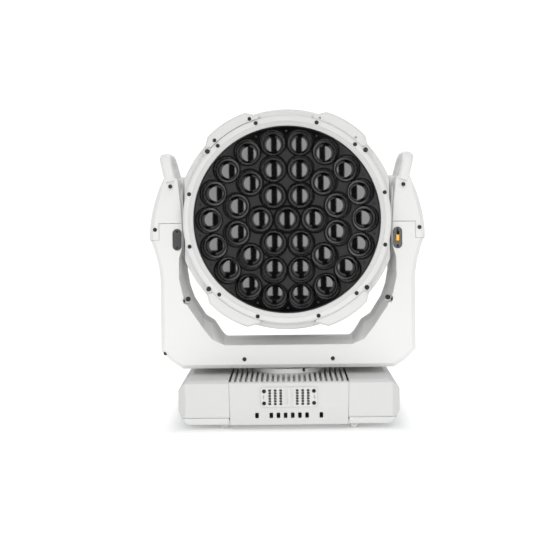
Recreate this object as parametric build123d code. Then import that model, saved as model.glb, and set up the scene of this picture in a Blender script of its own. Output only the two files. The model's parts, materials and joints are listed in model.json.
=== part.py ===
from build123d import *
import math
import os

# Moving head wash light. Millimetres, +Z up, the light looks along -Y.
# The origin is on the pan axis, on the surface that the feet stand on.

# ---- driving dimensions ---------------------------------------------------
TILT_Z = 366.7            # height of the tilt axis
WALL = 3.0                # wall of the moulded covers
SEAM = 0.25               # half of the visible gap between two covers
RUN = 0.05                # radial clearance of a running fit
CLEAR = 0.3               # gap between a belt and its pulleys

# base
BASE_W = 194.5            # half width over the wings
BASE_D = 148.0            # half depth over the front and rear walls
BASE_TOP = 86.0           # top plane of the wings
FOOT_H = 8.0              # rubber foot height, and underside of the tray
TRAY_TOP = 20.6           # seam between the tray and the wing covers
CENTRE_W = 105.0          # half width of the finned centre housing
CORNER = 13.0             # chamfer of the base's upright corners
BASE_ROUND = 3.0          # rounding of the base's outer edges
SKIRT_CREASE = 40.0       # height of the crease across the centre housing's front
DECK_Z = 78.0             # floor between the cooling fins
RAMP = 30.0               # length of the slope at each end of that floor
FIN_PITCH = 9.4
FIN_T = 5.2
FIN_COUNT = 22
FEET = (115.0, 126.0)     # half spacing of the feet in x and y
FOOT_R = 9.0
SOCKETS = (113.0, 53.0)   # half spacing of the quarter-turn sockets in x and y
SOCKET_HOLE_R = 5.5
EYE_Y = 135.0             # safety eye's hole
EYE_R = 7.0
EYE_Z = (12.0, 17.0)

# vent plate on the base's front
PLATE_W = 100.5
PLATE_H = 35.2
PLATE_Z = 57.1
PLATE_T = 2.0
VENT_PITCH = (9.6, 4.66)
VENT_HOLE = (4.6, 3.6)
SLOT_PITCH = 12.5
SLOT_SIZE = (6.2, 9.6)
SLOT_Z = 25.0

# display, buttons and connectors on the base's rear
DISPLAY_X = -14.0
DISPLAY_Z = 53.0
DISPLAY_SIZE = (64.0, 34.0)
BUTTON_X = (36.0, 54.0)
BUTTON_Z = (62.0, 44.0)
BUTTON_R = 5.0
POWER_X = (-164.0, -130.0)
DATA_X = (122.0, 148.0)
NETWORK_X = 169.5
PORT_Z = 48.0
REAR_FACE = BASE_D + PLATE_T

# pan drive
COLLAR_R = 65.0
COLLAR_TOP = 94.4
SPINDLE_R = 20.0
BIG_PULLEY_R = 57.3
SMALL_PULLEY_R = 9.55
BELT_T = 1.6
PULLEY_W = 10.0
PAN_PULLEY_Z = 101.0
PAN_MOTOR_X = 96.0
MOTOR = 42.0              # square stepper motor flange

# yoke
YOKE_D = 75.0             # half depth
YOKE_BOTTOM = 97.0
YOKE_W = 231.0            # half width of the arms
ARM_IN = 190.0            # inner face of the arms
SHOULDER_Z = 361.0        # seam under the shoulder covers
SHOULDER_STEP_Z = 331.0
SHOULDER_STEP_X = 232.0
SHOULDER_W = 250.0        # half width over the shoulders
NECK_Z = 443.0            # foot of the carrying handles
HANDLE_TOP = 489.0
HANDLE_X = 211.0          # handle bar's centre at its foot
HANDLE_W = 20.0
HANDLE_BAR = 17.0
HANDLE_LEAN = 14.0        # degrees outwards
EDGE_BEVEL = 7.0          # bevel of the outer edges
EDGE_ROUND = 2.0
GAP_BEVEL = 40.0          # depth of the bevel round the space for the head
BOSS_R = 80.0             # round bearing boss on each arm
BOSS_FLAT = 68.0          # half width over the boss's front and rear flats
BOSS_IN = 188.5
FRAME_X = 199.0           # inner face of the yoke frame's uprights
FRAME_T = 3.0
FRAME_D = 34.0            # half width of the uprights
FRAME_Z = 112.0
TRUNNION_R = 15.0
BEARING_R = 26.0
TILT_PULLEY_X = 204.0
TILT_MOTOR_Z = 141.0
PILL = (16.4, 39.0)       # pill-shaped plates on the arms
PILL_AT = (199.6, 331.5)
PILL_SCREW = 14.5         # pill plate's screws above and below its centre
SLIDER = (5.2, 11.0)
SLIDER_TRAVEL = 6.0

# head
BEZEL_R = 185.0
WINDOW_R = 166.8
HEAD_FRONT = -120.0
BEZEL_BACK = -98.4
DRUM_R = 197.0
DRUM_FLAT = 183.5         # half width over the drum's side flats
DRUM_FRONT = -98.0
DRUM_BACK = 60.0
HEAD_BACK = 115.0
LOBE_R = 203.5
LOBE_FRONT = -116.0
BAFFLE_Y = -108.0         # face of the black baffle
BAFFLE_T = 2.0
WELL_R = 22.5
WELL_MOUTH_R = 23.35
WELL_RIM = (25.4, 1.6)    # raised rim round each well: outer radius and height
WELL_END = -54.0
LENS_Y = -57.0            # rim of the lenses, zoom drawn back
LENS_R = 18.2
LENS_DOME = 1.2
BARREL_R = 22.0
CARRIER_Y = -22.0
CARRIER_T = 2.5
CARRIER_R = 163.0
ZOOM_R = 176.0            # circle of the lead screws and guide rods
ROD_R = 3.0
SCREW_R = 4.0
SINK_R = 158.0
FAN_X = 62.0
FAN_Y = 68.0
FAN_SIZE = 92.0
FAN_T = 25.0

# rings of wells: radius, count and first angle
WELL_RINGS = [(0.0, 1, 0.0), (49.0, 6, 0.0), (93.5, 12, 15.0), (139.5, 18, 0.0)]

# space between the arms, right half, as x and z: at mid depth and at the front edge
MID_CONTOUR = [(120, 145), (139, 175), (156, 186), (177, 219),
               (185.5, 243), (ARM_IN, 270), (ARM_IN, 300), (ARM_IN, 316)]
EDGE_CONTOUR = [(115, 139.5), (137.6, 149.4), (152, 167.5), (179, 207),
                (190, 231), (ARM_IN + 7, 262), (ARM_IN + 6.5, 298), (ARM_IN + 0.5, 316)]

# screws of the yoke, as x and z
BAR_SCREWS = [(-80, 114), (80, 114)]
REAR_BAR_SCREWS = [(-205, 150), (205, 150), (-222, 300), (222, 300)]
SHOULDER_SCREWS = [(211, 428), (239.5, 350)]
ARM_SCREW = (182.8, 222.0)      # sunk in the bevel of each arm
ARM_SCREW_Y = -50.0
CORNER_SCREW = (224.3, 124.5)   # on the left arm's lower corner

# screws of the head, as radius and angle from +X
BEZEL_SCREWS = [(179.3, half + side * turn)
                for half in (0, 180) for side in (-1, 1) for turn in (15, 47.3, 72.5)]
EAR_SCREWS = [(186.0, 41), (186.0, 139), (186.0, 221), (186.0, 319)]
LOBE_SCREWS = [(190.5, 110), (190.5, 132)]
LOBE_DIMPLES = [(189.5, 49.5), (189.5, 71.5)]
RIM_SCREWS = [(157.5, 10 + 20 * step) for step in range(18)]
INNER_SCREWS = [(110.0, 60 * step) for step in range(6)] + [(28.3, 90), (28.3, 210), (28.3, 330)]
REAR_SCREWS = [(170.0, turn) for turn in (40, 60, 120, 140, 220, 240, 300, 320)]


# ---- helpers --------------------------------------------------------------
def front_plane(y):
    """Plane drawn in x and z, facing the front."""
    return Plane(origin=(0, y, 0), x_dir=(1, 0, 0), z_dir=(0, -1, 0))


def slab_y(sketch, y_front, y_back):
    """Solid with an x-z outline."""
    plane = front_plane(y_back)
    return extrude(plane * sketch, y_back - y_front, dir=plane.z_dir)


def slab_x(sketch, x_low, x_high):
    """Solid with a y-z outline."""
    plane = Plane(origin=(x_low, 0, 0), x_dir=(0, 1, 0), z_dir=(1, 0, 0))
    return extrude(plane * sketch, x_high - x_low, dir=plane.z_dir)


def slab_z(sketch, z_low, z_high):
    """Solid with an x-y outline."""
    return extrude(Plane.XY.offset(z_low) * sketch, z_high - z_low, dir=(0, 0, 1))


def outline(*points):
    return Polygon(*points, align=None)


def both_sides(points):
    """Right-hand points, carried on to the mirrored left-hand ones."""
    return points + [(-x, z) for x, z in reversed(points)]


def rect(low_u, low_v, high_u, high_v):
    centre = Pos((low_u + high_u) / 2, (low_v + high_v) / 2)
    return centre * Rectangle(high_u - low_u, high_v - low_v)


def block(x, y, z):
    """Box from three (low, high) pairs."""
    centre = Pos(sum(x) / 2, sum(y) / 2, sum(z) / 2)
    return centre * Box(x[1] - x[0], y[1] - y[0], z[1] - z[0])


def polar(radius, degrees):
    """Point about the head's centre, as x and z, anticlockwise from +X."""
    angle = math.radians(degrees)
    return radius * math.cos(angle), TILT_Z + radius * math.sin(angle)


def disc_y(radius, y_front, y_back, x=0.0, z=TILT_Z):
    return slab_y(Pos(x, z) * Circle(radius), y_front, y_back)


def ring_y(outer, inner, y_front, y_back, x=0.0, z=TILT_Z):
    return slab_y(Pos(x, z) * (Circle(outer) - Circle(inner)), y_front, y_back)


def disc_x(radius, x_low, x_high, y=0.0, z=TILT_Z):
    return slab_x(Pos(y, z) * Circle(radius), x_low, x_high)


def ring_x(outer, inner, x_low, x_high, y=0.0, z=TILT_Z):
    return slab_x(Pos(y, z) * (Circle(outer) - Circle(inner)), x_low, x_high)


def ring_z(outer, inner, z_low, z_high, x=0.0, y=0.0):
    return slab_z(Pos(x, y) * (Circle(outer) - Circle(inner)), z_low, z_high)


def spun(*points):
    """Solid of revolution about the head's optical axis, from radius and y."""
    face = Plane.XY.offset(TILT_Z) * outline(*points)
    return revolve(face, Axis((0, 0, TILT_Z), (0, 1, 0)))


def other_side(shape):
    return mirror(shape, about=Plane.YZ)


def other_end(shape):
    return mirror(shape, about=Plane.XZ)


def group(shapes):
    """Several separate solids kept in one node."""
    return Compound(children=[solid for shape in shapes for solid in shape.solids()])


def button_screw(head_r, shank):
    """Button-head screw: the head rises from z 0, the shank goes down."""
    head = Pos(0, 0, head_r * 0.28) * Cone(head_r, head_r * 0.72, head_r * 0.56)
    head -= Pos(0, 0, head_r * 0.2) * extrude(RegularPolygon(head_r * 0.42, 6), head_r)
    if shank:
        head += Pos(0, 0, -shank / 2) * Cylinder(head_r * 0.5, shank)
    return head


def facing(x, y, z, direction):
    return Plane(origin=(x, y, z), z_dir=direction).location


def drill(location, radius, depth):
    """Hole that goes down from the surface at a location."""
    return location * Pos(0, 0, 1 - depth / 2) * Cylinder(radius, depth + 2)


def belt_loop(big_r, small_r, distance):
    """Closed outline round a big pulley at the origin and a small one below it."""
    lean = math.asin((big_r - small_r) / distance)
    side = (math.cos(lean), -math.sin(lean))
    big = (big_r * side[0], big_r * side[1])
    small = (small_r * side[0], small_r * side[1] - distance)
    sides = [Line(big, small), Line((-small[0], small[1]), (-big[0], big[1]))]
    ends = [
        ThreePointArc(small, (0, -distance - small_r), (-small[0], small[1])),
        ThreePointArc((-big[0], big[1]), (0, big_r), big),
    ]
    return make_face([sides[0], ends[0], sides[1], ends[1]])


def toothed(radius, count, depth):
    """Pulley outline with a shallow tooth gap cut for each belt tooth."""
    gaps = PolarLocations(radius, count) * Circle(depth)
    return Circle(radius) - gaps


def wells():
    """Centres of the 37 light wells, as x and z from the head's centre."""
    spots = []
    for radius, count, start in WELL_RINGS:
        for step in range(count):
            angle = math.radians(start + 360.0 * step / count)
            spots.append((radius * math.cos(angle), radius * math.sin(angle)))
    return spots


def at_wells(sketch):
    """The same outline at each well, about the head's centre."""
    return Sketch() + [Pos(x, TILT_Z + z) * sketch for x, z in wells()]


# ---- base -----------------------------------------------------------------
def base_block(inset, z_low, z_high):
    """Chamfered block of the base, shrunk evenly by inset."""
    w = BASE_W - inset
    d = BASE_D - inset
    top = BASE_TOP - inset
    low = FOOT_H + inset
    cut = CORNER
    right_end = [(w - 18, low), (w - 6.5, 19), (w, 31), (w, 69), (w - 8, top - 6), (w - 19, top)]
    ends = outline(*both_sides(right_end))
    rear_side = [(d - 8, low), (d, 24), (d, top - 5), (d - 8, top)]
    sides = outline(*both_sides(rear_side))
    right_plan = [(w - cut, -d), (w, -d + cut), (w, d - cut), (w - cut, d)]
    plan = outline(*both_sides(right_plan))
    body = slab_y(ends, -d, d) & slab_x(sides, -w, w) & slab_z(plan, low, top)
    if inset == 0:
        body = fillet(body.edges(), BASE_ROUND)
    return body & block((-w, w), (-d, d), (z_low, z_high))


def base_tray():
    tray = base_block(0, FOOT_H, TRAY_TOP) - base_block(WALL, FOOT_H + WALL, TRAY_TOP + 1)
    for end in (-1, 1):
        y_range = sorted((end * (BASE_D - 2 * WALL - SEAM), end * (BASE_D + 1)))
        tray -= block((-CENTRE_W, CENTRE_W), y_range, (0, TRAY_TOP + 1))
    tray -= block((-16, 16), (EYE_Y - 14, BASE_D + 1), (FOOT_H - 1, TRAY_TOP + 1))
    for x in (-SOCKETS[0], SOCKETS[0]):
        for y in (-SOCKETS[1], SOCKETS[1]):
            tray -= slab_z(Pos(x, y) * Circle(12.0), 0, 15)
    return tray


def seam_x(z):
    """Side of the centre housing: it leans in by 2 mm from top to bottom."""
    return CENTRE_W - 2.0 * (BASE_TOP - z) / BASE_TOP


def wing_cover():
    """Right wing cover, with the holes of its rear connectors."""
    low = TRAY_TOP + 2 * SEAM
    shell = base_block(0, low, BASE_TOP) - base_block(WALL, low - 1, BASE_TOP - WALL)
    side = outline((seam_x(low) + SEAM, low), (seam_x(BASE_TOP) + SEAM, BASE_TOP),
                   (BASE_W, BASE_TOP), (BASE_W, low))
    return shell & slab_y(side, -BASE_D, BASE_D)


def right_wing_cover():
    wing = wing_cover()
    for x in DATA_X:
        wing -= disc_y(10.5, BASE_D - 5, BASE_D + 5, x, PORT_Z)
    for z in (PORT_Z - 13, PORT_Z + 13):
        wing -= block((NETWORK_X - 9, NETWORK_X + 9), (BASE_D - 5, BASE_D + 5), (z - 8, z + 8))
    return wing


def left_wing_cover():
    wing = other_side(wing_cover())
    for x in POWER_X:
        wing -= disc_y(13.5, BASE_D - 5, BASE_D + 5, x, PORT_Z)
    return wing


def centre_outline(top):
    low = FOOT_H + SEAM
    return outline((-seam_x(low), low), (-seam_x(top), top), (seam_x(top), top), (seam_x(low), low))


def centre_housing():
    """Cast centre section: front and rear walls, deck and cooling fins."""
    d = BASE_D
    skirt = SKIRT_CREASE
    wall_side = outline((-d + 3, FOOT_H + SEAM), (-d, skirt), (-d, 81.5), (-d + 8, BASE_TOP),
                        (-d + 8, DECK_Z), (-d + 3.5, DECK_Z - 3), (-d + 3.5, skirt), (-d + 6, FOOT_H + SEAM))
    front = slab_x(wall_side, -CENTRE_W, CENTRE_W)
    front -= block((-CENTRE_W, CENTRE_W), (-d + 4, -d + 20), (DECK_Z, 90))
    ramp_side = outline((-d + 2, 82), (-d + 4, 83.6), (-d + RAMP, DECK_Z),
                        (-d + RAMP, DECK_Z - 2), (-d + 2, DECK_Z - 2))
    front += slab_x(ramp_side, -CENTRE_W, CENTRE_W)
    deck = block((-CENTRE_W, CENTRE_W), (-d + 1, d - 1), (DECK_Z - 3, DECK_Z))
    fin_end = [(-d + 9, BASE_TOP), (-d + 1, 81.9), (-d + 1, DECK_Z)]
    fin_side = outline(*both_sides(fin_end))
    housing = front + other_end(front) + deck
    first = -FIN_PITCH * (FIN_COUNT - 1) / 2
    for number in range(FIN_COUNT):
        x = first + number * FIN_PITCH
        housing += slab_x(fin_side, x - FIN_T / 2, x + FIN_T / 2)
    housing &= slab_y(centre_outline(BASE_TOP), -d, d)
    housing -= slab_z(Circle(COLLAR_R + CLEAR), DECK_Z, BASE_TOP + 1)
    housing -= slab_z(Circle(SPINDLE_R + CLEAR), DECK_Z - 4, DECK_Z + 1)
    housing -= block((-38, 38), (-d - 1, -d + 5), (PLATE_Z - 14, PLATE_Z + 14))
    for x, is_open in front_slots():
        depth = 8 if is_open else 1.2
        slot = Pos(x, SLOT_Z) * RectangleRounded(SLOT_SIZE[0], SLOT_SIZE[1], 1.5)
        housing -= slab_y(slot, -d - 1, -d + depth)
    for x in (-PLATE_W / 2 + 6.65, PLATE_W / 2 - 6.65):
        for z in (PLATE_Z - 10.5, PLATE_Z + 10.5):
            housing -= disc_y(1.7, -d - 1, -d + 8, x, z)
    return housing - rear_cutouts()


def front_slots():
    """Ten slots in the front skirt: x, and whether it is open."""
    steps = [number - 4.5 for number in range(10)]
    return [(SLOT_PITCH * step, abs(step) != 3.5) for step in steps]


def rear_cutouts():
    w, h = DISPLAY_SIZE
    cut = slab_y(Pos(DISPLAY_X, DISPLAY_Z) * RectangleRounded(w, h, 4), BASE_D - 6, BASE_D + 2)
    for x, z in button_spots():
        cut += disc_y(BUTTON_R + CLEAR, BASE_D - 6, BASE_D + 2, x, z)
    cut += block((-16, 16), (EYE_Y - 14, BASE_D + 1), (FOOT_H - 1, 26))
    return cut


def button_spots():
    return [(x, z) for x in BUTTON_X for z in BUTTON_Z]


def menu_button(x, z):
    cap = disc_y(BUTTON_R, BASE_D - 4.0, REAR_FACE - 0.3, x, z)
    cap = chamfer(cap.edges().group_by(Axis.Y)[-1], 0.6)
    return cap + disc_y(BUTTON_R + 1.5, BASE_D - 5.5, BASE_D - 4.0, x, z)


def display_window():
    w, h = DISPLAY_SIZE
    border = RectangleRounded(w + 6, h + 6, 5) - RectangleRounded(w - 8, h - 8, 2)
    frame = slab_y(border, BASE_D, REAR_FACE - 0.4)
    glass = slab_y(RectangleRounded(w - 0.6, h - 0.6, 3.7), BASE_D - 5, BASE_D)
    return Pos(DISPLAY_X, 0, DISPLAY_Z) * (frame + glass)


def vent_plate():
    """Raised plate on the front with a field of small holes."""
    plate = RectangleRounded(PLATE_W, PLATE_H, 5)
    body = Pos(0, 0, PLATE_Z) * slab_y(plate, -BASE_D - PLATE_T, -BASE_D)
    body = chamfer(body.edges().group_by(Axis.Y)[0], 0.6)
    hole = RectangleRounded(VENT_HOLE[0], VENT_HOLE[1], 1.0)
    for column in (-3.5, -2.5, -1.5, -0.5, 0.5, 1.5, 2.5, 3.5):
        depth = 0.4 if abs(column) < 1 else 6
        holes = Sketch() + [Pos(VENT_PITCH[0] * column, PLATE_Z + VENT_PITCH[1] * row) * hole
                            for row in (-2.5, -1.5, -0.5, 0.5, 1.5, 2.5)]
        body -= slab_y(holes, -BASE_D - PLATE_T - 1, -BASE_D - PLATE_T + depth)
    for x in (-1, 1):
        body -= slab_y(Pos(x * 44.5, PLATE_Z) * Rectangle(1.6, 5), -BASE_D - 5, -BASE_D - PLATE_T + 1.2)
        for z in (PLATE_Z - 10.5, PLATE_Z + 10.5):
            body -= disc_y(1.7, -BASE_D - 5, -BASE_D + 5, x * (PLATE_W / 2 - 6.65), z)
            body -= disc_y(3.5, -BASE_D - 5, -BASE_D - 0.6, x * (PLATE_W / 2 - 6.65), z)
    return body


def base_screws():
    """Four screws sunk in the corners of the vent plate."""
    screws = []
    small = button_screw(3.2, 6)
    for x in (-PLATE_W / 2 + 6.65, PLATE_W / 2 - 6.65):
        for z in (PLATE_Z - 10.5, PLATE_Z + 10.5):
            screws.append(facing(x, -BASE_D - 0.6, z, (0, -1, 0)) * small)
    return group(screws)


def rubber_feet():
    foot = Cone(FOOT_R - 1.5, FOOT_R, FOOT_H)
    return group([Pos(x * FEET[0], y * FEET[1], FOOT_H / 2) * foot for x in (-1, 1) for y in (-1, 1)])


def bracket_sockets():
    """Receptacles for quarter-turn clamp brackets."""
    socket = ring_z(16, SOCKET_HOLE_R, FOOT_H - 3, FOOT_H) + ring_z(11.9, SOCKET_HOLE_R, FOOT_H, 16)
    return group([Pos(x * SOCKETS[0], y * SOCKETS[1], 0) * socket for x in (-1, 1) for y in (-1, 1)])


def safety_eye():
    tab = slab_z(Pos(0, EYE_Y) * Circle(12) + rect(-12, EYE_Y - 24, 12, EYE_Y), *EYE_Z)
    foot = block((-12, 12), (EYE_Y - 24, EYE_Y - 18), (FOOT_H + WALL, EYE_Z[0]))
    return tab + foot - slab_z(Pos(0, EYE_Y) * Circle(EYE_R), 0, 30)


def pan_hub():
    """Hollow spindle with its foot flange and the fixed pan pulley."""
    hub = ring_z(SPINDLE_R, 14, FOOT_H + WALL, 126) + ring_z(45, 14, FOOT_H + WALL, 16)
    pulley = toothed(BIG_PULLEY_R, 90, 0.7) - Circle(SPINDLE_R - 1)
    return hub + slab_z(pulley, PAN_PULLEY_Z, PAN_PULLEY_Z + PULLEY_W)


def pan_collar():
    """Disc under the yoke, with a small slot for the lock tab."""
    collar = ring_z(COLLAR_R, SPINDLE_R, DECK_Z, COLLAR_TOP)
    collar = chamfer(collar.edges().group_by(Axis.Z)[-1].sort_by(SortBy.LENGTH)[-1], 1.5)
    return collar - block((25.2, 29.8), (-COLLAR_R, -50), (COLLAR_TOP - 6, COLLAR_TOP + 1))


def pan_lock_tab():
    return block((25.6, 29.4), (-59.0, -50.4), (COLLAR_TOP - 5.6, COLLAR_TOP - 0.4))


def power_supply():
    case = block((-182, -112), (-105, 105), (18, 66))
    case = chamfer(case.edges().filter_by(Axis.Y), 1.5)
    for y in range(-80, 90, 20):
        case -= block((-172, -122), (y - 3, y + 3), (64.5, 67))
    return case


def control_board():
    board = block((112, 182), (-100, 100), (24, 25.6))
    for y, size, tall in [(-70, 18, 14), (-30, 30, 6), (15, 14, 4), (40, 22, 10), (75, 26, 18)]:
        board += block((147 - size / 2, 147 + size / 2), (y - size / 2, y + size / 2), (25.6, 25.6 + tall))
    return board


def power_connectors():
    """Round twist-lock power inlet and outlet."""
    sockets = []
    for x in POWER_X:
        body = disc_y(13.2, BASE_D - 20, BASE_D, x, PORT_Z) + disc_y(15.5, BASE_D, REAR_FACE - 0.3, x, PORT_Z)
        body -= ring_y(11, 7, BASE_D - 12, REAR_FACE, x, PORT_Z)
        sockets.append(body)
    return group(sockets)


def signal_connectors():
    """Two five-pin data sockets and two network sockets."""
    sockets = []
    for x in DATA_X:
        body = disc_y(10.2, BASE_D - 20, BASE_D, x, PORT_Z) + disc_y(12, BASE_D, REAR_FACE - 0.3, x, PORT_Z)
        body -= disc_y(8, BASE_D - 10, REAR_FACE, x, PORT_Z)
        for pin in range(5):
            angle = math.radians(18 + 72 * pin)
            spot = (x + 4.5 * math.cos(angle), PORT_Z + 4.5 * math.sin(angle))
            body += disc_y(0.9, BASE_D - 10, BASE_D - 2, *spot)
        sockets.append(body)
    for z in (PORT_Z - 13, PORT_Z + 13):
        body = block((NETWORK_X - 8.7, NETWORK_X + 8.7), (BASE_D - 18, REAR_FACE - 0.3), (z - 7.7, z + 7.7))
        body -= block((NETWORK_X - 6, NETWORK_X + 6), (BASE_D - 10, REAR_FACE), (z - 4, z + 4))
        sockets.append(body)
    return group(sockets)


# ---- yoke -----------------------------------------------------------------
def gap_outline(contour, grow=0.0):
    """Closed outline of the space between the arms."""
    top_x = contour[-1][0]
    sketch = outline(*both_sides(contour + [(top_x, 520)]))
    return offset(sketch, grow, kind=Kind.INTERSECTION) if grow else sketch


def yoke_outline(inset=0.0):
    """Outer silhouette of the yoke, carried on above the shoulder seam."""
    right = [
        Line((0, YOKE_BOTTOM), (192, YOKE_BOTTOM)),
        Line((192, YOKE_BOTTOM), (213, 111)),
        Line((213, 111), (YOKE_W, 129)),
        Line((YOKE_W, 129), (YOKE_W, 256)),
        ThreePointArc((YOKE_W, 256), (236.2, 293), (248.6, SHOULDER_STEP_Z)),
        Line((248.6, SHOULDER_STEP_Z), (248.6, 420)),
        Line((248.6, 420), (0, 420)),
    ]
    whole = make_face(right + [mirror(edge, about=Plane.YZ) for edge in right])
    return offset(whole, -inset, kind=Kind.INTERSECTION) if inset else whole


def below_shoulder():
    """Space under the stepped seam of the shoulder covers."""
    low = block((-260, 260), (-YOKE_D, YOKE_D), (0, SHOULDER_STEP_Z - SEAM))
    high = block((-SHOULDER_STEP_X, SHOULDER_STEP_X), (-YOKE_D, YOKE_D), (0, SHOULDER_Z - SEAM))
    return low + high


def bevelled_slab(wide, narrow, y_front, y_back, bevel):
    """Slab whose front edge is bevelled from the wide to the narrow outline."""
    faces = [front_plane(y_front + bevel) * wide, front_plane(y_front) * narrow]
    front = loft([face.faces()[0] for face in faces], ruled=True)
    return slab_y(wide, y_front + bevel, y_back) + front


def yoke_half():
    """Front half shell of the yoke, with a bevel round the space for the head."""
    front = -YOKE_D
    bevel_back = front + GAP_BEVEL
    solid = bevelled_slab(yoke_outline(), yoke_outline(EDGE_BEVEL), front, 0, EDGE_BEVEL)
    solid = fillet([e for e in solid.edges() if e.center().Y < front + EDGE_BEVEL + 0.1], EDGE_ROUND)
    solid &= below_shoulder()
    solid -= bevelled_slab(gap_outline(MID_CONTOUR), gap_outline(EDGE_CONTOUR), front, 1, GAP_BEVEL)
    mid = gap_outline(MID_CONTOUR, WALL)
    edge = gap_outline(EDGE_CONTOUR, WALL + 1.5)
    solid -= slab_y(yoke_outline(WALL) - mid, bevel_back, 1)
    solid -= slab_y(yoke_outline(WALL) - edge, front + 8, bevel_back)
    solid -= slab_y(yoke_outline(9) - edge, front + WALL, front + 8)
    solid -= slab_z(Circle(SPINDLE_R + 4), YOKE_BOTTOM - 1, YOKE_BOTTOM + WALL + 1)
    hole = boss_space(RUN) & block((ARM_IN - 5, ARM_IN + 9), (-YOKE_D, YOKE_D), (200, 500))
    return solid - hole - other_side(hole)


def yoke_front_cover():
    cover = yoke_half() & block((-260, 260), (-YOKE_D, -SEAM / 2), (0, 500))
    for x, z in BAR_SCREWS:
        cover -= drill(facing(x, -YOKE_D, z, (0, -1, 0)), 2.0, 9)
    cover -= drill(corner_screw_place(), 3.9, 1.6)
    for side in (-1, 1):
        x = side * ARM_SCREW[0]
        cover -= disc_y(7.6, -YOKE_D - 1, ARM_SCREW_Y, x, ARM_SCREW[1])
        cover -= disc_y(2.4, ARM_SCREW_Y - 1, ARM_SCREW_Y + 7, x, ARM_SCREW[1])
        pill = Pos(side * PILL_AT[0], PILL_AT[1]) * SlotOverall(PILL[1], PILL[0], rotation=90)
        cover -= slab_y(pill, -YOKE_D - 1, -YOKE_D + 1.6)
    slider_space = Pos(PILL_AT[0], PILL_AT[1] + SLIDER_TRAVEL / 2) * Rectangle(7, 20)
    cover -= slab_y(slider_space, -YOKE_D - 1, -YOKE_D + 6)
    return cover


def corner_screw_place():
    """Seat on the sloping lower corner of the left arm."""
    return facing(-CORNER_SCREW[0], -YOKE_D + 3.4, CORNER_SCREW[1], (-0.55, -0.70, -0.46))


def yoke_rear_cover():
    cover = other_end(yoke_half()) & block((-260, 260), (SEAM / 2, YOKE_D), (0, 500))
    for x, z in BAR_SCREWS + REAR_BAR_SCREWS:
        cover -= drill(facing(x, YOKE_D, z, (0, 1, 0)), 2.0, 9)
    for x in range(-60, 61, 12):
        cover -= slab_y(Pos(x, 119) * SlotOverall(26, 5, rotation=90), YOKE_D - 5, YOKE_D + 1)
    return cover


def shoulder_profile():
    """Front outline of the right shoulder, up to the foot of its handle."""
    return make_face([
        Line((ARM_IN, SHOULDER_Z + SEAM), (SHOULDER_STEP_X + SEAM, SHOULDER_Z + SEAM)),
        Line((SHOULDER_STEP_X + SEAM, SHOULDER_Z + SEAM), (SHOULDER_STEP_X + SEAM, SHOULDER_STEP_Z)),
        Line((SHOULDER_STEP_X + SEAM, SHOULDER_STEP_Z), (SHOULDER_W, SHOULDER_STEP_Z)),
        ThreePointArc((SHOULDER_W, SHOULDER_STEP_Z), (243.4, 386), (223, NECK_Z)),
        Line((223, NECK_Z), (ARM_IN + 8, NECK_Z)),
        Line((ARM_IN + 8, NECK_Z), (ARM_IN, NECK_Z - 14)),
        Line((ARM_IN, NECK_Z - 14), (ARM_IN, SHOULDER_Z + SEAM)),
    ])


def shoulder_form(inset=0.0):
    """Wider outline that carries only the shoulder's outer curve."""
    face = make_face([
        Line((150, 300), (SHOULDER_W, 300)),
        Line((SHOULDER_W, 300), (SHOULDER_W, SHOULDER_STEP_Z)),
        ThreePointArc((SHOULDER_W, SHOULDER_STEP_Z), (243.4, 386), (223, NECK_Z)),
        Line((223, NECK_Z), (212, 470)),
        Line((212, 470), (150, 470)),
        Line((150, 470), (150, 300)),
    ])
    return offset(face, -inset, kind=Kind.INTERSECTION) if inset else face


def shoulder_side(inset=0.0):
    d = YOKE_D - inset
    return outline(*both_sides([(d, 300), (d, 405), (d - 6, NECK_Z - inset)]))


def handle():
    """Carrying handle: a rounded bar bent into an arch that leans outwards."""
    lean = math.radians(HANDLE_LEAN)
    up = (math.cos(lean), 0, -math.sin(lean))
    plane = Plane(origin=(HANDLE_X, 0, NECK_Z - 8), x_dir=(0, 1, 0), z_dir=up)
    height = (HANDLE_TOP - HANDLE_BAR / 2 - NECK_Z + 8) / math.cos(lean)
    path = FilletPolyline((-64, 0), (-54, height), (54, height), (64, 0), radius=24)
    path = plane * path
    start = Plane(origin=path @ 0, z_dir=path % 0, x_dir=plane.z_dir)
    return sweep(start * RectangleRounded(HANDLE_W, HANDLE_BAR, 6.5), path=path)


def inner_bevel():
    """Wedge that widens the shoulder's inner front edge towards its top."""
    foot = SHOULDER_Z
    front = outline((150, foot), (ARM_IN + 0.5, foot), (ARM_IN + 3, 400),
                    (ARM_IN + 9, 434), (ARM_IN + 12, 450), (150, 450))
    back = outline((150, foot), (ARM_IN, foot), (ARM_IN, 400),
                   (ARM_IN, NECK_Z - 14), (ARM_IN + 8, 450), (150, 450))
    faces = [front_plane(-YOKE_D + RAMP) * back, front_plane(-YOKE_D) * front]
    return loft([face.faces()[0] for face in faces], ruled=True)


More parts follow.
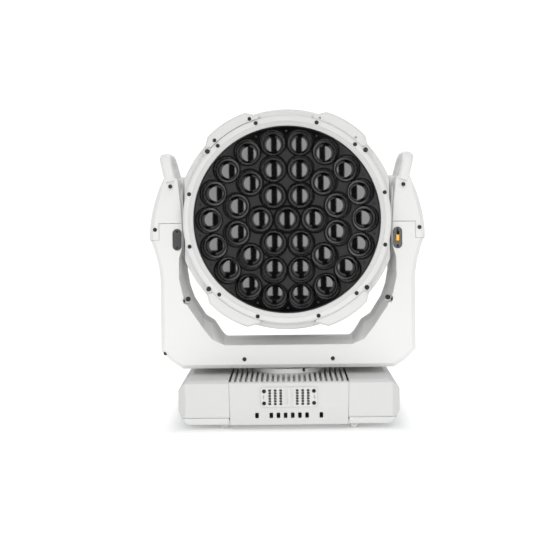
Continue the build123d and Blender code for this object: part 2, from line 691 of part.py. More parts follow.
def right_shoulder_cover():
    half = bevelled_slab(shoulder_form(), shoulder_form(EDGE_BEVEL), -YOKE_D, 0, EDGE_BEVEL)
    form = half + other_end(half)
    outer = form & slab_y(shoulder_profile(), -YOKE_D, YOKE_D) & slab_x(shoulder_side(), 180, 260)
    inside = slab_y(shoulder_form(WALL), -YOKE_D + 8, YOKE_D - 8)
    inside += slab_y(shoulder_form(9), -YOKE_D + WALL, YOKE_D - WALL)
    inside &= slab_x(shoulder_side(WALL), 180, 260)
    thick = ARM_IN + 2 * WALL
    inner_wall = outline((150, 300), (thick, 300), (thick + 1.5, 410),
                         (thick + 9, 440), (thick + 14, 460), (150, 460))
    inside -= slab_y(inner_wall, -YOKE_D, YOKE_D)
    wedge = inner_bevel()
    outer = outer - inside - wedge - other_end(wedge) + handle()
    outer -= boss_space(RUN) & block((ARM_IN - 5, ARM_IN + 9), (-YOKE_D, YOKE_D), (200, 500))
    for x, z in SHOULDER_SCREWS:
        for end in (-1, 1):
            outer -= drill(facing(x, end * YOKE_D, z, (0, end, 0)), 2.0, 9)
    return outer


def yoke_frame():
    """Folded steel frame inside the covers: a floor plate and two uprights."""
    floor = block((-FRAME_X, FRAME_X), (-45, 45), (FRAME_Z, FRAME_Z + FRAME_T))
    frame = floor - slab_z(Circle(34), 0, 200)
    motor = Pos(PAN_MOTOR_X, 0) * Circle(11.2)
    frame -= slab_z(motor, 0, 200)
    for side in (-1, 1):
        x_range = sorted((side * FRAME_X, side * (FRAME_X + FRAME_T)))
        profile = outline(*both_sides([(FRAME_D, FRAME_Z), (FRAME_D, 385), (20, 402)]))
        upright = slab_x(profile, *x_range)
        upright -= disc_x(BEARING_R + 2, *x_range)
        upright -= disc_x(11.2, *x_range, 0, TILT_MOTOR_Z)
        for z in (200, 250):
            upright -= slab_x(Pos(0, z) * SlotOverall(50, 22), *x_range)
        frame += upright
    return frame


def boss_space(gap):
    """Where a bearing boss meets its arm: a disc cut off at front and rear."""
    flat = BOSS_FLAT + gap
    return disc_x(BOSS_R + gap, 150, 230) & block((150, 230), (-flat, flat), (200, 500))


def tilt_bosses():
    """Round housings that hold the tilt bearings, one on each arm."""
    boss = ring_x(BOSS_R, BEARING_R, BOSS_IN, FRAME_X) & boss_space(0)
    rim = [e for e in boss.edges().group_by(Axis.X)[0] if e.length > 60 and abs(e.center().Z - TILT_Z) > 5]
    boss = chamfer(rim, 3)
    for number in range(6):
        angle = math.radians(60 * number + 30)
        boss -= disc_x(2.2, BOSS_IN - 1, BOSS_IN + 6, 66 * math.cos(angle), TILT_Z + 66 * math.sin(angle))
    return group([boss, other_side(boss)])


def yoke_bearings():
    """Two tilt bearings and the pan bearing."""
    tilt = ring_x(BEARING_R, TRUNNION_R + RUN, 190, 198.5)
    pan = ring_z(34, SPINDLE_R + RUN, FRAME_Z, FRAME_Z + 11)
    return group([tilt, other_side(tilt), pan])


def pan_motor():
    x = PAN_MOTOR_X
    half = MOTOR / 2
    low = FRAME_Z + FRAME_T
    body = block((x - half, x + half), (-half, half), (low, low + 23))
    body = chamfer(body.edges().filter_by(Axis.Z), 4)
    return body - slab_z(Pos(x, 0) * Circle(3.5), 0, 130)


def pan_motor_pulley():
    x = PAN_MOTOR_X
    wheel = Pos(x, 0) * toothed(SMALL_PULLEY_R, 15, 0.7)
    shaft = slab_z(Pos(x, 0) * Circle(3), PAN_PULLEY_Z, 125)
    return shaft + slab_z(wheel, PAN_PULLEY_Z, PAN_PULLEY_Z + PULLEY_W)


def belt_outline(distance):
    inner = belt_loop(BIG_PULLEY_R + CLEAR, SMALL_PULLEY_R + CLEAR, distance)
    outer = belt_loop(BIG_PULLEY_R + CLEAR + BELT_T, SMALL_PULLEY_R + CLEAR + BELT_T, distance)
    return outer - inner


def pan_belt():
    loop = Rot(0, 0, 90) * belt_outline(PAN_MOTOR_X)
    return slab_z(loop, PAN_PULLEY_Z + 0.5, PAN_PULLEY_Z + PULLEY_W - 0.5)


def tilt_motor():
    half = MOTOR / 2
    body = block((-FRAME_X, -FRAME_X + 38), (-half, half), (TILT_MOTOR_Z - half, TILT_MOTOR_Z + half))
    body = chamfer(body.edges().filter_by(Axis.X), 4)
    return body - disc_x(3.5, -FRAME_X - 1, -FRAME_X + 20, 0, TILT_MOTOR_Z)


def tilt_motor_pulley():
    low = -TILT_PULLEY_X - PULLEY_W
    wheel = Pos(0, TILT_MOTOR_Z) * toothed(SMALL_PULLEY_R, 15, 0.7)
    return slab_x(wheel, low, low + PULLEY_W) + disc_x(3, low, -FRAME_X + 15, 0, TILT_MOTOR_Z)


def tilt_belt():
    loop = Pos(0, TILT_Z) * belt_outline(TILT_Z - TILT_MOTOR_Z)
    low = -TILT_PULLEY_X - PULLEY_W
    return slab_x(loop, low + 0.5, low + PULLEY_W - 0.5)


def pill_plate(side):
    """Pill-shaped plate let into the arm, with two screw holes."""
    centre = Pos(side * PILL_AT[0], PILL_AT[1])
    pill = centre * SlotOverall(PILL[1] - 0.4, PILL[0] - 0.4, rotation=90)
    plate = slab_y(pill, -YOKE_D - 0.6, -YOKE_D + 1.6)
    plate = chamfer(plate.edges().group_by(Axis.Y)[0], 0.5)
    for z in (-PILL_SCREW, PILL_SCREW):
        plate -= disc_y(1.4, -YOKE_D - 2, -YOKE_D + 2, side * PILL_AT[0], PILL_AT[1] + z)
    return plate


def left_blank_plate():
    return pill_plate(-1)


def right_lock_plate():
    x, z = PILL_AT
    half = SLIDER[1] / 2
    slot = rect(x - SLIDER[0] / 2 - CLEAR, z - half - CLEAR,
                x + SLIDER[0] / 2 + CLEAR, z + half + SLIDER_TRAVEL + CLEAR)
    return pill_plate(1) - slab_y(slot, -YOKE_D - 2, -YOKE_D + 2)


def tilt_lock_slider():
    """Finger tab that drives the tilt lock."""
    x, z = PILL_AT
    tab = slab_y(Pos(x, z) * RectangleRounded(SLIDER[0], SLIDER[1], 1.2), -YOKE_D - 1.4, -YOKE_D + 5)
    return chamfer(tab.edges().group_by(Axis.Y)[0], 0.5)


def yoke_screws():
    screw = button_screw(3.8, 7)
    small = button_screw(2.2, 2)
    placed = []
    for x, z in BAR_SCREWS:
        placed.append(facing(x, -YOKE_D, z, (0, -1, 0)) * screw)
    for x, z in BAR_SCREWS + REAR_BAR_SCREWS:
        placed.append(facing(x, YOKE_D, z, (0, 1, 0)) * screw)
    placed.append(corner_screw_place() * Pos(0, 0, -1.5) * button_screw(3.4, 0))
    for x, z in SHOULDER_SCREWS:
        for end in (-1, 1):
            for side in (-1, 1):
                placed.append(facing(side * x, end * YOKE_D, z, (0, end, 0)) * screw)
    for side in (-1, 1):
        seat = facing(side * ARM_SCREW[0], ARM_SCREW_Y, ARM_SCREW[1], (0, -1, 0))
        placed.append(seat * button_screw(4.6, 6))
        for z in (-PILL_SCREW, PILL_SCREW):
            placed.append(facing(side * PILL_AT[0], -YOKE_D - 0.6, PILL_AT[1] + z, (0, -1, 0)) * small)
    return group(placed)


# ---- head -----------------------------------------------------------------
def front_bezel():
    """White ring with a sloping inner face and four screw ears."""
    front = HEAD_FRONT
    ring = spun((WINDOW_R, front + 5.5), (174, front + 1.0), (174.6, front), (BEZEL_R - 2.4, front),
                (BEZEL_R, front + 2.4), (BEZEL_R, BEZEL_BACK), (WINDOW_R, BEZEL_BACK))
    for radius, turn in EAR_SCREWS:
        ring += disc_y(7.2, front + 2.0, BEZEL_BACK, *polar(radius, turn))
    for radius, turn in BEZEL_SCREWS:
        ring -= disc_y(1.9, front - 1, front + 9, *polar(radius, turn))
    for radius, turn in EAR_SCREWS:
        ring -= disc_y(5.2, front - 1, front + 2.6, *polar(radius, turn))
        ring -= disc_y(2.2, front - 1, front + 12, *polar(radius, turn))
    return ring - disc_y(WINDOW_R - 1.2, front, BEZEL_BACK + 1)


def window_gasket():
    return ring_y(WINDOW_R - 0.1, 164.8, BAFFLE_Y - 2.2, BEZEL_BACK)


def front_baffle():
    """Black plate with a tube behind each of its 37 wells."""
    sheet = Pos(0, TILT_Z) * Circle(164.7) - at_wells(Circle(WELL_R))
    baffle = slab_y(sheet, BAFFLE_Y, BAFFLE_Y + BAFFLE_T)
    tubes = at_wells(Circle(WELL_R + 0.8)) - at_wells(Circle(WELL_R))
    baffle += slab_y(tubes, BAFFLE_Y + BAFFLE_T, WELL_END)
    rim_r, rim_h = WELL_RIM
    rims = (at_wells(Circle(rim_r)) & Pos(0, TILT_Z) * Circle(164.7)) - at_wells(Circle(WELL_R))
    baffle += slab_y(rims, BAFFLE_Y - rim_h, BAFFLE_Y)
    mouth = revolve(Plane.XY * outline((0, -rim_h), (WELL_MOUTH_R + 0.9, -rim_h), (WELL_MOUTH_R, 0),
                                       (WELL_R, 1.6), (0, 1.6)), Axis.Y)
    baffle -= Compound(children=[Pos(x, BAFFLE_Y, TILT_Z + z) * mouth for x, z in wells()])
    skirt = ring_y(164.7, 163.6, BAFFLE_Y + BAFFLE_T, BEZEL_BACK - 2)
    return baffle + skirt


def barrel_ring(outer, inner):
    return at_wells(Circle(outer)) - at_wells(Circle(inner))


def rod_spots():
    return [polar(ZOOM_R, turn) for turn in (30, 150, 270)]


def screw_spots():
    return [polar(ZOOM_R, turn) for turn in (90, 210)]


def lens_carrier():
    """Moving plate with a barrel for each lens, on rods and lead screws."""
    plate = Pos(0, TILT_Z) * Circle(CARRIER_R)
    for x, z in rod_spots() + screw_spots():
        plate += Pos(x, z) * Circle(8)
        plate += Pos(x * 0.94, TILT_Z + (z - TILT_Z) * 0.94) * Circle(8)
    plate -= at_wells(Circle(BARREL_R - 1.4))
    for x, z in rod_spots():
        plate -= Pos(x, z) * Circle(ROD_R + RUN)
    for x, z in screw_spots():
        plate -= Pos(x, z) * Circle(SCREW_R + RUN)
    carrier = slab_y(plate, CARRIER_Y, CARRIER_Y + CARRIER_T)
    carrier += slab_y(barrel_ring(BARREL_R, BARREL_R - 1.4), LENS_Y + 2, CARRIER_Y + CARRIER_T)
    return carrier + slab_y(barrel_ring(BARREL_R, LENS_R + 0.02), LENS_Y, LENS_Y + 2)


def lenses():
    """Domed lenses, one in each barrel."""
    bulge = (LENS_R ** 2 + LENS_DOME ** 2) / (2 * LENS_DOME)
    ball = Pos(0, bulge - LENS_DOME, 0) * Sphere(bulge)
    lens = slab_y(Circle(LENS_R), -LENS_DOME, 3.0) & ball
    return group([Pos(x, LENS_Y, TILT_Z + z) * lens for x, z in wells()])


def zoom_screw(spot):
    x, z = spot
    shaft = disc_y(SCREW_R, -60, 8.6, x, z)
    nose = disc_y(2.5, 8.6, 14, x, z)
    return shaft + nose


def zoom_screw_top():
    return zoom_screw(screw_spots()[0])


def zoom_screw_left():
    return zoom_screw(screw_spots()[1])


def guide_rods():
    return group([disc_y(ROD_R, -60, 9, x, z) for x, z in rod_spots()])


def zoom_motors():
    motors = []
    for x, z in screw_spots():
        can = disc_y(12, 16, 38, x, z)
        motors.append(can - disc_y(2.6, 15, 20, x, z))
    return group(motors)


def drum_outline(radius, flat):
    return Pos(0, TILT_Z) * (Circle(radius) & Rectangle(2 * flat, 2 * radius + 10))


def head_frame():
    """Ring plate with a bracket and a hollow trunnion on each side."""
    plate = drum_outline(190, DRUM_FLAT - WALL) - Pos(0, TILT_Z) * Circle(SINK_R + 0.4)
    frame = slab_y(plate, 9, 16)
    for x, z in screw_spots():
        frame -= disc_y(2.6, 8, 20, x, z)
    inner = DRUM_FLAT - WALL
    bracket = slab_x(Pos(0, TILT_Z) * RectangleRounded(60, 80, 8), inner - 8, inner)
    bracket += disc_x(28, inner, 185) + disc_x(TRUNNION_R, 185, 218)
    bracket -= disc_x(8, inner - 20, 230)
    return frame + bracket + other_side(bracket)


def tilt_pulley():
    low = -TILT_PULLEY_X - PULLEY_W
    wheel = Pos(0, TILT_Z) * (toothed(BIG_PULLEY_R, 90, 0.7) - Circle(TRUNNION_R))
    windows = [Pos(0, TILT_Z) * spot * Circle(11) for spot in PolarLocations(36, 6)]
    return slab_x(wheel - windows, low, low + PULLEY_W)


def led_board():
    board = disc_y(SINK_R, 6.5, 8.5)
    chips = at_wells(Rectangle(8, 8))
    return board + slab_y(chips, 5.3, 6.5)


def light_rods():
    """Tapered rods that carry each emitter's light to its lens."""
    rod = revolve(Plane.XY * outline((0, -17), (5.2, -17), (3.8, 5.3), (0, 5.3)), Axis.Y)
    return group([Pos(x, 0, TILT_Z + z) * rod for x, z in wells()])


def heat_sink():
    base = disc_y(SINK_R, 8.5, 16)
    fins = Sketch() + [Pos(8.0 * step, 0) * Rectangle(1.6, 320) for step in range(-18, 19)]
    fins = Pos(0, TILT_Z) * (fins & Circle(SINK_R - 6))
    return base + slab_y(fins, 16, FAN_Y - 4)


def fan_frames():
    half = FAN_SIZE / 2
    frames = []
    for x in (-FAN_X, FAN_X):
        shroud = RectangleRounded(FAN_SIZE, FAN_SIZE, 5) - Circle(half - 2.5)
        frame = slab_y(Pos(x, TILT_Z) * shroud, FAN_Y, FAN_Y + FAN_T)
        for turn in (45, 135):
            bar = Pos(x, TILT_Z) * Rot(0, 0, turn) * Rectangle(FAN_SIZE - 2, 4)
            frame += slab_y(bar, FAN_Y, FAN_Y + 2.5)
        frame += disc_y(14, FAN_Y, FAN_Y + 2.5, x, TILT_Z)
        frame += disc_y(2, FAN_Y + 2.5, FAN_Y + 12, x, TILT_Z)
        frames.append(frame)
    return group(frames)


def fan_rotor(x):
    """Hub with seven pitched blades."""
    rotor = ring_y(19, 2 + RUN, FAN_Y + 4, FAN_Y + 23, 0, 0)
    blade = Pos(30, 0, 0) * Rot(40, 0, 0) * Box(25, 1.8, 24)
    band = ring_y(42.2, 17.5, FAN_Y + 4, FAN_Y + 23, 0, 0)
    for number in range(7):
        turned = Rot(0, 360 / 7 * number, 0) * blade
        rotor += (Pos(0, FAN_Y + 13.5, 0) * turned) & band
    return Pos(x, 0, TILT_Z) * rotor


def left_fan_rotor():
    return fan_rotor(-FAN_X)


def right_fan_rotor():
    return fan_rotor(FAN_X)


def head_housing():
    """Drum behind the bezel, flattened beside the yoke arms."""
    outer = drum_outline(DRUM_R, DRUM_FLAT)
    inner = drum_outline(DRUM_R - WALL, DRUM_FLAT - WALL)
    drum = slab_y(outer, DRUM_FRONT, DRUM_BACK)
    drum = chamfer(drum.edges().group_by(Axis.Y)[0], 2.5)
    drum -= slab_y(inner, DRUM_FRONT + WALL, DRUM_BACK + 1)
    drum -= disc_y(CARRIER_R + 1.4, DRUM_FRONT - 1, DRUM_FRONT + WALL + 1)
    for side in (-1, 1):
        x_range = sorted((side * (DRUM_FLAT - WALL - 1), side * (DRUM_FLAT + 1)))
        drum -= disc_x(28.3, *x_range)
    slots = Sketch() + [Pos(x, 20) * SlotOverall(56, 5, rotation=90) for x in range(-56, 57, 14)]
    return drum - slab_z(slots, TILT_Z - DRUM_R - 5, TILT_Z + DRUM_R + 5)


def lobe_outline(inner):
    """Upper right lobe, seen from the front."""
    corners = [polar(inner, 41.5), polar(192, 40.5), polar(LOBE_R, 46.5)]
    crest = ThreePointArc(corners[-1], polar(LOBE_R + 1.0, 58), polar(LOBE_R, 69.3))
    end = [polar(LOBE_R, 69.3), polar(190, 75.6), polar(inner, 74.5)]
    foot = ThreePointArc(end[-1], polar(inner, 58), corners[0])
    return make_face([Line(corners[0], corners[1]), Line(corners[1], corners[2]), crest,
                      Line(end[0], end[1]), Line(end[1], end[2]), foot])


def lobe(gap=0.3):
    """Raised corner block that runs back along the drum, a small gap outside the bezel."""
    body = slab_y(lobe_outline(BEZEL_R + gap), LOBE_FRONT, DRUM_BACK - 2)
    front = body.edges().group_by(Axis.Y)[0]
    outer_edges = [e for e in front if abs(math.hypot(e.center().X, e.center().Z - TILT_Z)) > 194]
    body = chamfer(outer_edges, 3)
    back = body.edges().group_by(Axis.Y)[-1]
    outer_edges = [e for e in back if abs(math.hypot(e.center().X, e.center().Z - TILT_Z)) > 201]
    body = chamfer(outer_edges, 5)
    body -= disc_y(DRUM_R + 0.1, DRUM_FRONT - 0.1, DRUM_BACK + 1)
    for radius, turn in EAR_SCREWS:
        body -= disc_y(7.6, LOBE_FRONT - 1, BEZEL_BACK, *polar(radius, turn))
    return body


def upper_left_lobe():
    body = other_side(lobe(0.8))
    for radius, turn in LOBE_SCREWS:
        body -= disc_y(1.75, LOBE_FRONT - 1, LOBE_FRONT + 8, *polar(radius, turn))
    return body


def drum_lobes():
    """The three plain lobes; the upper right one has two small dimples."""
    right = lobe()
    for radius, turn in LOBE_DIMPLES:
        right -= disc_y(1.7, LOBE_FRONT - 1, LOBE_FRONT + 6, *polar(radius, turn))
    low = Pos(0, 0, 2 * TILT_Z) * mirror(lobe(), about=Plane.XY)
    return group([right, low, other_side(low)])


def rear_cover():
    """Domed back of the head with two fan grilles."""
    front = slab_y(drum_outline(DRUM_R, DRUM_FLAT), DRUM_BACK + SEAM, 94)
    wide = front_plane(94) * drum_outline(DRUM_R, DRUM_FLAT)
    narrow = front_plane(HEAD_BACK) * drum_outline(DRUM_R - 16, DRUM_FLAT - 14)
    cover = front + loft([wide.faces()[0], narrow.faces()[0]], ruled=True)
    hollow = slab_y(drum_outline(DRUM_R - WALL, DRUM_FLAT - WALL), DRUM_BACK, 94)
    wide = front_plane(93.9) * drum_outline(DRUM_R - WALL, DRUM_FLAT - WALL)
    narrow = front_plane(HEAD_BACK - WALL) * drum_outline(DRUM_R - 16 - WALL, DRUM_FLAT - 14 - WALL)
    cover -= hollow + loft([wide.faces()[0], narrow.faces()[0]], ruled=True)
    for x in (-FAN_X, FAN_X):
        rings = Sketch()
        for radius in (8, 16, 24, 32, 40):
            rings += Circle(radius + 2.9) - Circle(radius - 2.6)
        rings -= Rectangle(100, 3.2) + Rectangle(3.2, 100)
        cover -= slab_y(Pos(x, TILT_Z) * rings, HEAD_BACK - 5, HEAD_BACK + 1)
    vents = Sketch() + [Pos(14.0 * step, TILT_Z + level) * SlotOverall(44, 5, rotation=90)
                        for step in range(-6, 7) for level in (-110, 110)]
    cover -= slab_y(vents, HEAD_BACK - 5, HEAD_BACK + 1)
    for radius, turn in REAR_SCREWS:
        cover -= disc_y(2.0, HEAD_BACK - 9, HEAD_BACK + 1, *polar(radius, turn))
    return cover


def head_screws():
    bezel = button_screw(3.7, 8)
    ear = button_screw(4.3, 8)
    lobe_screw = button_screw(3.4, 6)
    fine = button_screw(2.5, 0)
    rear = button_screw(3.8, 6)
    placed = []
    for radius, turn in BEZEL_SCREWS:
        x, z = polar(radius, turn)
        placed.append(facing(x, HEAD_FRONT, z, (0, -1, 0)) * bezel)
    for radius, turn in EAR_SCREWS:
        x, z = polar(radius, turn)
        placed.append(facing(x, HEAD_FRONT + 2.6, z, (0, -1, 0)) * ear)
    for radius, turn in LOBE_SCREWS:
        x, z = polar(radius, turn)
        placed.append(facing(x, LOBE_FRONT, z, (0, -1, 0)) * lobe_screw)
    for radius, turn in RIM_SCREWS + INNER_SCREWS:
        x, z = polar(radius, turn)
        placed.append(facing(x, BAFFLE_Y, z, (0, -1, 0)) * fine)
    for radius, turn in REAR_SCREWS:
        x, z = polar(radius, turn)
        placed.append(facing(x, HEAD_BACK, z, (0, 1, 0)) * rear)
    return group(placed)


# ---- assembly -------------------------------------------------------------
def left_shoulder_cover():
    return other_side(right_shoulder_cover())


NODES = [
    base_tray, left_wing_cover, right_wing_cover, centre_housing, vent_plate, base_screws, rubber_feet,
    bracket_sockets, safety_eye, pan_hub, pan_collar, pan_lock_tab, power_supply, control_board,
    display_window, power_connectors, signal_connectors,
    yoke_front_cover, yoke_rear_cover, left_shoulder_cover, right_shoulder_cover, yoke_frame, tilt_bosses,
    yoke_bearings, pan_motor, pan_motor_pulley, pan_belt, tilt_motor, tilt_motor_pulley, tilt_belt,
    left_blank_plate, right_lock_plate, tilt_lock_slider, yoke_screws,
    front_bezel, window_gasket, front_baffle, lens_carrier, lenses, zoom_screw_top, zoom_screw_left,
    guide_rods, zoom_motors, head_frame, tilt_pulley, led_board, light_rods, heat_sink, fan_frames,
    left_fan_rotor, right_fan_rotor, head_housing, upper_left_lobe, drum_lobes, rear_cover, head_screws,
]
BUTTON_NAMES = ["menu_button", "enter_button", "up_button", "down_button"]

os.makedirs("parts", exist_ok=True)
parts = {make.__name__: make() for make in NODES}
for name, (x, z) in zip(BUTTON_NAMES, button_spots()):
    parts[name] = menu_button(x, z)
for name, shape in parts.items():
    export_step(shape, f"parts/{name}.step")
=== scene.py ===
import json
import math

import bpy
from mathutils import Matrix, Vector


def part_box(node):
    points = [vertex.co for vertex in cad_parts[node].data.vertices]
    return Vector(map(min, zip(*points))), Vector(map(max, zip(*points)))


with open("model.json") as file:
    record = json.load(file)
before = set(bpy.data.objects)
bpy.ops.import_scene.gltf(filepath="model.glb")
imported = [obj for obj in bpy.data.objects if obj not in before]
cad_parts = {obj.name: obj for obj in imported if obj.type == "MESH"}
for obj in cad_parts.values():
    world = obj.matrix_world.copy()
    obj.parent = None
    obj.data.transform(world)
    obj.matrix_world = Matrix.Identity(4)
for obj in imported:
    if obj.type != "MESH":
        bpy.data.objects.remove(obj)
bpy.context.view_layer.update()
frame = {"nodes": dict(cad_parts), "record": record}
scene = bpy.context.scene

# ---- sizes and places, in metres -------------------------------------------
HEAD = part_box("front_bezel")
HEAD_CENTRE = Vector(((HEAD[0].x + HEAD[1].x) / 2, HEAD[0].y, (HEAD[0].z + HEAD[1].z) / 2))
RIM_HEIGHT = 0.0016        # rims of the wells, in front of the baffle's flat lands
LAND_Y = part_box("front_baffle")[0].y + RIM_HEIGHT
LAND_REACH = 0.124         # the matt lands lie within this radius of the head's axis
BASE_HALF = (0.195, 0.148)
SHADOW_REACH = 0.05        # the paper shows its own shading this far out from the base
FELT_FROM = -0.7           # in front of this the floor is dark in reflections
FELT_TO = -1.1
PAPER_GLOW = 1.15
FELT_GLOW = 0.02
CAMERA_BACK = 2.0          # from the bezel's face to the camera
CAMERA_RISE = 0.022        # camera above the head's centre
IMAGE_SIDE = 533
SENSOR = 0.036
FOCAL = CAMERA_BACK / 0.00177 * SENSOR / IMAGE_SIDE
SHIFT = (-0.0385, -0.1116)
ROLL = math.radians(0.6)


# ---- small node helpers ----------------------------------------------------
class Nodes:
    """A material's node tree, with short ways to add and join nodes."""

    def __init__(self, name):
        self.material = bpy.data.materials.new(name)
        self.material.use_nodes = True
        self.tree = self.material.node_tree
        self.shader = self.tree.nodes["Principled BSDF"]
        self.place = self.tree.nodes.new("ShaderNodeTexCoord").outputs["Object"]

    def add(self, kind, **inputs):
        node = self.tree.nodes.new("ShaderNode" + kind)
        for key, value in inputs.items():
            socket = node.inputs[key.replace("_", " ")]
            if isinstance(value, bpy.types.NodeSocket):
                self.tree.links.new(value, socket)
            else:
                socket.default_value = value
        return node

    def set(self, **values):
        for key, value in values.items():
            socket = self.shader.inputs[key.replace("_", " ")]
            if isinstance(value, bpy.types.NodeSocket):
                self.tree.links.new(value, socket)
            else:
                socket.default_value = value
        return self

    def noise(self, scale, detail=2.0, rough=0.5, place=None):
        node = self.add("TexNoise", Scale=scale, Detail=detail, Roughness=rough)
        self.tree.links.new(place or self.place, node.inputs["Vector"])
        return node.outputs["Fac"]

    def ramp(self, factor, low, high):
        """Blend between two colours over the middle of the factor's range."""
        node = self.tree.nodes.new("ShaderNodeValToRGB")
        self.tree.links.new(factor, node.inputs["Fac"])
        for stop, colour, spot in zip(node.color_ramp.elements, (low, high), (0.3, 0.7)):
            stop.color = (*colour, 1.0)
            stop.position = spot
        return node.outputs["Color"]

    def level(self, factor, low, high):
        """Map a 0 to 1 factor to a number between low and high."""
        node = self.add("MapRange", Value=factor, To_Min=low, To_Max=high)
        return node.outputs["Result"]

    def bump(self, height, distance, strength=1.0, normal=None):
        node = self.add("Bump", Height=height, Distance=distance, Strength=strength)
        if normal:
            self.tree.links.new(normal, node.inputs["Normal"])
        return node.outputs["Normal"]

    def combine(self, kind, operation, first, second=None):
        """Vector or plain arithmetic on one or two values."""
        node = self.tree.nodes.new("ShaderNode" + kind)
        node.operation = operation
        for value, socket in zip((first, second), node.inputs):
            if isinstance(value, bpy.types.NodeSocket):
                self.tree.links.new(value, socket)
            elif value is not None:
                socket.default_value = value
        return node

    def soft_edges(self, radius):
        node = self.add("Bevel", Radius=radius)
        node.samples = 6
        return node.outputs["Normal"]


def painted_shell(name, tone, grain, gloss):
    """Satin off-white paint: fine orange peel, faint tone drift and dust in the grain."""
    n = Nodes(name)
    drift = n.noise(5.0, 3.0)
    dark = tuple(c * 0.965 for c in tone)
    n.set(Base_Color=n.ramp(drift, dark, tone), Specular_IOR_Level=0.42)
    n.set(Roughness=n.level(n.noise(60.0, 3.0), gloss - 0.05, gloss + 0.06))
    peel = n.noise(grain, 2.0, 0.55)
    n.set(Normal=n.bump(peel, 0.00006, 0.55, n.soft_edges(0.0022)))
    return n.material


def dark_moulding(name, tone, gloss):
    """Black moulded plastic with a fine spark-eroded grain."""
    n = Nodes(name)
    lighter = tuple(c * 1.5 + 0.004 for c in tone)
    n.set(Base_Color=n.ramp(n.noise(45.0, 4.0), tone, lighter))
    n.set(Roughness=n.level(n.noise(220.0, 2.0), gloss - 0.07, gloss + 0.08))
    n.set(Normal=n.bump(n.noise(2600.0, 2.0), 0.00005, 0.5, n.soft_edges(0.0004)))
    return n.material


def baffle_moulding(name):
    """Black baffle: textured lands behind the polished rims round its wells."""
    n = Nodes(name)
    depth = n.add("SeparateXYZ", Vector=n.place).outputs["Y"]
    land = n.add("MapRange", Value=depth, From_Min=LAND_Y - 0.0003, From_Max=LAND_Y)
    above_wells = n.add("MapRange", Value=depth, From_Min=LAND_Y + 0.0002, From_Max=LAND_Y + 0.0004,
                        To_Min=1.0, To_Max=0.0)
    flat = n.combine("Math", "MULTIPLY", land.outputs["Result"], above_wells.outputs["Result"])
    spread = n.combine("VectorMath", "DISTANCE", n.place, (0, LAND_Y, HEAD_CENTRE.z))
    inner = n.add("MapRange", Value=spread.outputs["Value"], From_Min=LAND_REACH - 0.004,
                  From_Max=LAND_REACH + 0.004, To_Min=1.0, To_Max=0.0)
    matt = n.combine("Math", "MULTIPLY", flat.outputs[0], inner.outputs["Result"]).outputs[0]
    grain = n.ramp(n.noise(600.0, 3.0), (0.026, 0.026, 0.026), (0.036, 0.036, 0.036))
    tone = n.add("MixRGB", Fac=matt, Color1=(0.002, 0.002, 0.0024, 1), Color2=grain)
    n.set(Base_Color=tone.outputs["Color"], Roughness=n.level(matt, 0.10, 0.55), Specular_IOR_Level=0.12)
    n.set(Normal=n.bump(n.noise(2600.0, 2.0), 0.00002, 0.25, n.soft_edges(0.0008)))
    return n.material


def brushed_metal(name, tone, gloss, stretch=(1, 1, 30)):
    """Bare metal with lengthwise brushing."""
    n = Nodes(name)
    mapping = n.add("Mapping", Vector=n.place, Scale=stretch)
    lines = n.noise(900.0, 3.0, 0.6, mapping.outputs["Vector"])
    dark = tuple(c * 0.75 for c in tone)
    n.set(Base_Color=n.ramp(lines, dark, tone), Metallic=1.0)
    n.set(Roughness=n.level(lines, gloss - 0.08, gloss + 0.1))
    n.set(Normal=n.bump(lines, 0.00002, 0.4))
    return n.material


def black_oxide(name):
    """Blackened steel screws: dark, faintly mottled, with a worn sheen."""
    n = Nodes(name)
    mottle = n.noise(900.0, 3.0)
    n.set(Base_Color=n.ramp(mottle, (0.008, 0.008, 0.009), (0.03, 0.03, 0.032)), Metallic=0.6)
    n.set(Roughness=n.level(mottle, 0.30, 0.48))
    n.set(Normal=n.bump(n.noise(3000.0), 0.00003, 0.4, n.soft_edges(0.0003)))
    return n.material


def rubber(name, tone=(0.018, 0.018, 0.018)):
    n = Nodes(name)
    n.set(Base_Color=n.ramp(n.noise(120.0, 4.0), tone, tuple(c * 1.8 for c in tone)))
    n.set(Roughness=n.level(n.noise(300.0), 0.72, 0.9), Specular_IOR_Level=0.3)
    n.set(Normal=n.bump(n.noise(1800.0, 3.0), 0.00008, 0.6))
    return n.material


def lens_glass(name):
    """Clear moulded lens over a dark barrel: near black, hard gloss, faint moulding ripple."""
    n = Nodes(name)
    n.set(Base_Color=n.ramp(n.noise(300.0), (0.006, 0.006, 0.007), (0.012, 0.012, 0.014)))
    n.set(IOR=1.56, Specular_IOR_Level=0.55)
    n.set(Roughness=n.level(n.noise(150.0), 0.05, 0.08))
    n.set(Normal=n.bump(n.noise(90.0, 1.0), 0.00002, 0.2, n.soft_edges(0.004)))
    return n.material


def smoked_window(name):
    """Dark gloss window in its frame."""
    n = Nodes(name)
    n.set(Base_Color=n.ramp(n.noise(40.0), (0.006, 0.007, 0.009), (0.012, 0.013, 0.016)))
    n.set(Roughness=n.level(n.noise(80.0), 0.06, 0.12), Coat_Weight=0.8, Coat_Roughness=0.04)
    n.set(Normal=n.bump(n.noise(60.0, 1.0), 0.00002, 0.3))
    return n.material


def circuit_board(name):
    """Solder resist with rows of copper tracks and pads."""
    n = Nodes(name)
    tracks = n.add("TexBrick", Vector=n.place, Scale=120.0, Mortar_Size=0.03)
    tracks.inputs["Color1"].default_value = (0.010, 0.060, 0.030, 1)
    tracks.inputs["Color2"].default_value = (0.014, 0.085, 0.040, 1)
    tracks.inputs["Mortar"].default_value = (0.45, 0.30, 0.12, 1)
    n.set(Base_Color=tracks.outputs["Color"], Roughness=n.level(n.noise(200.0), 0.3, 0.5))
    n.set(Normal=n.bump(tracks.outputs["Fac"], 0.00004, 0.4))
    return n.material


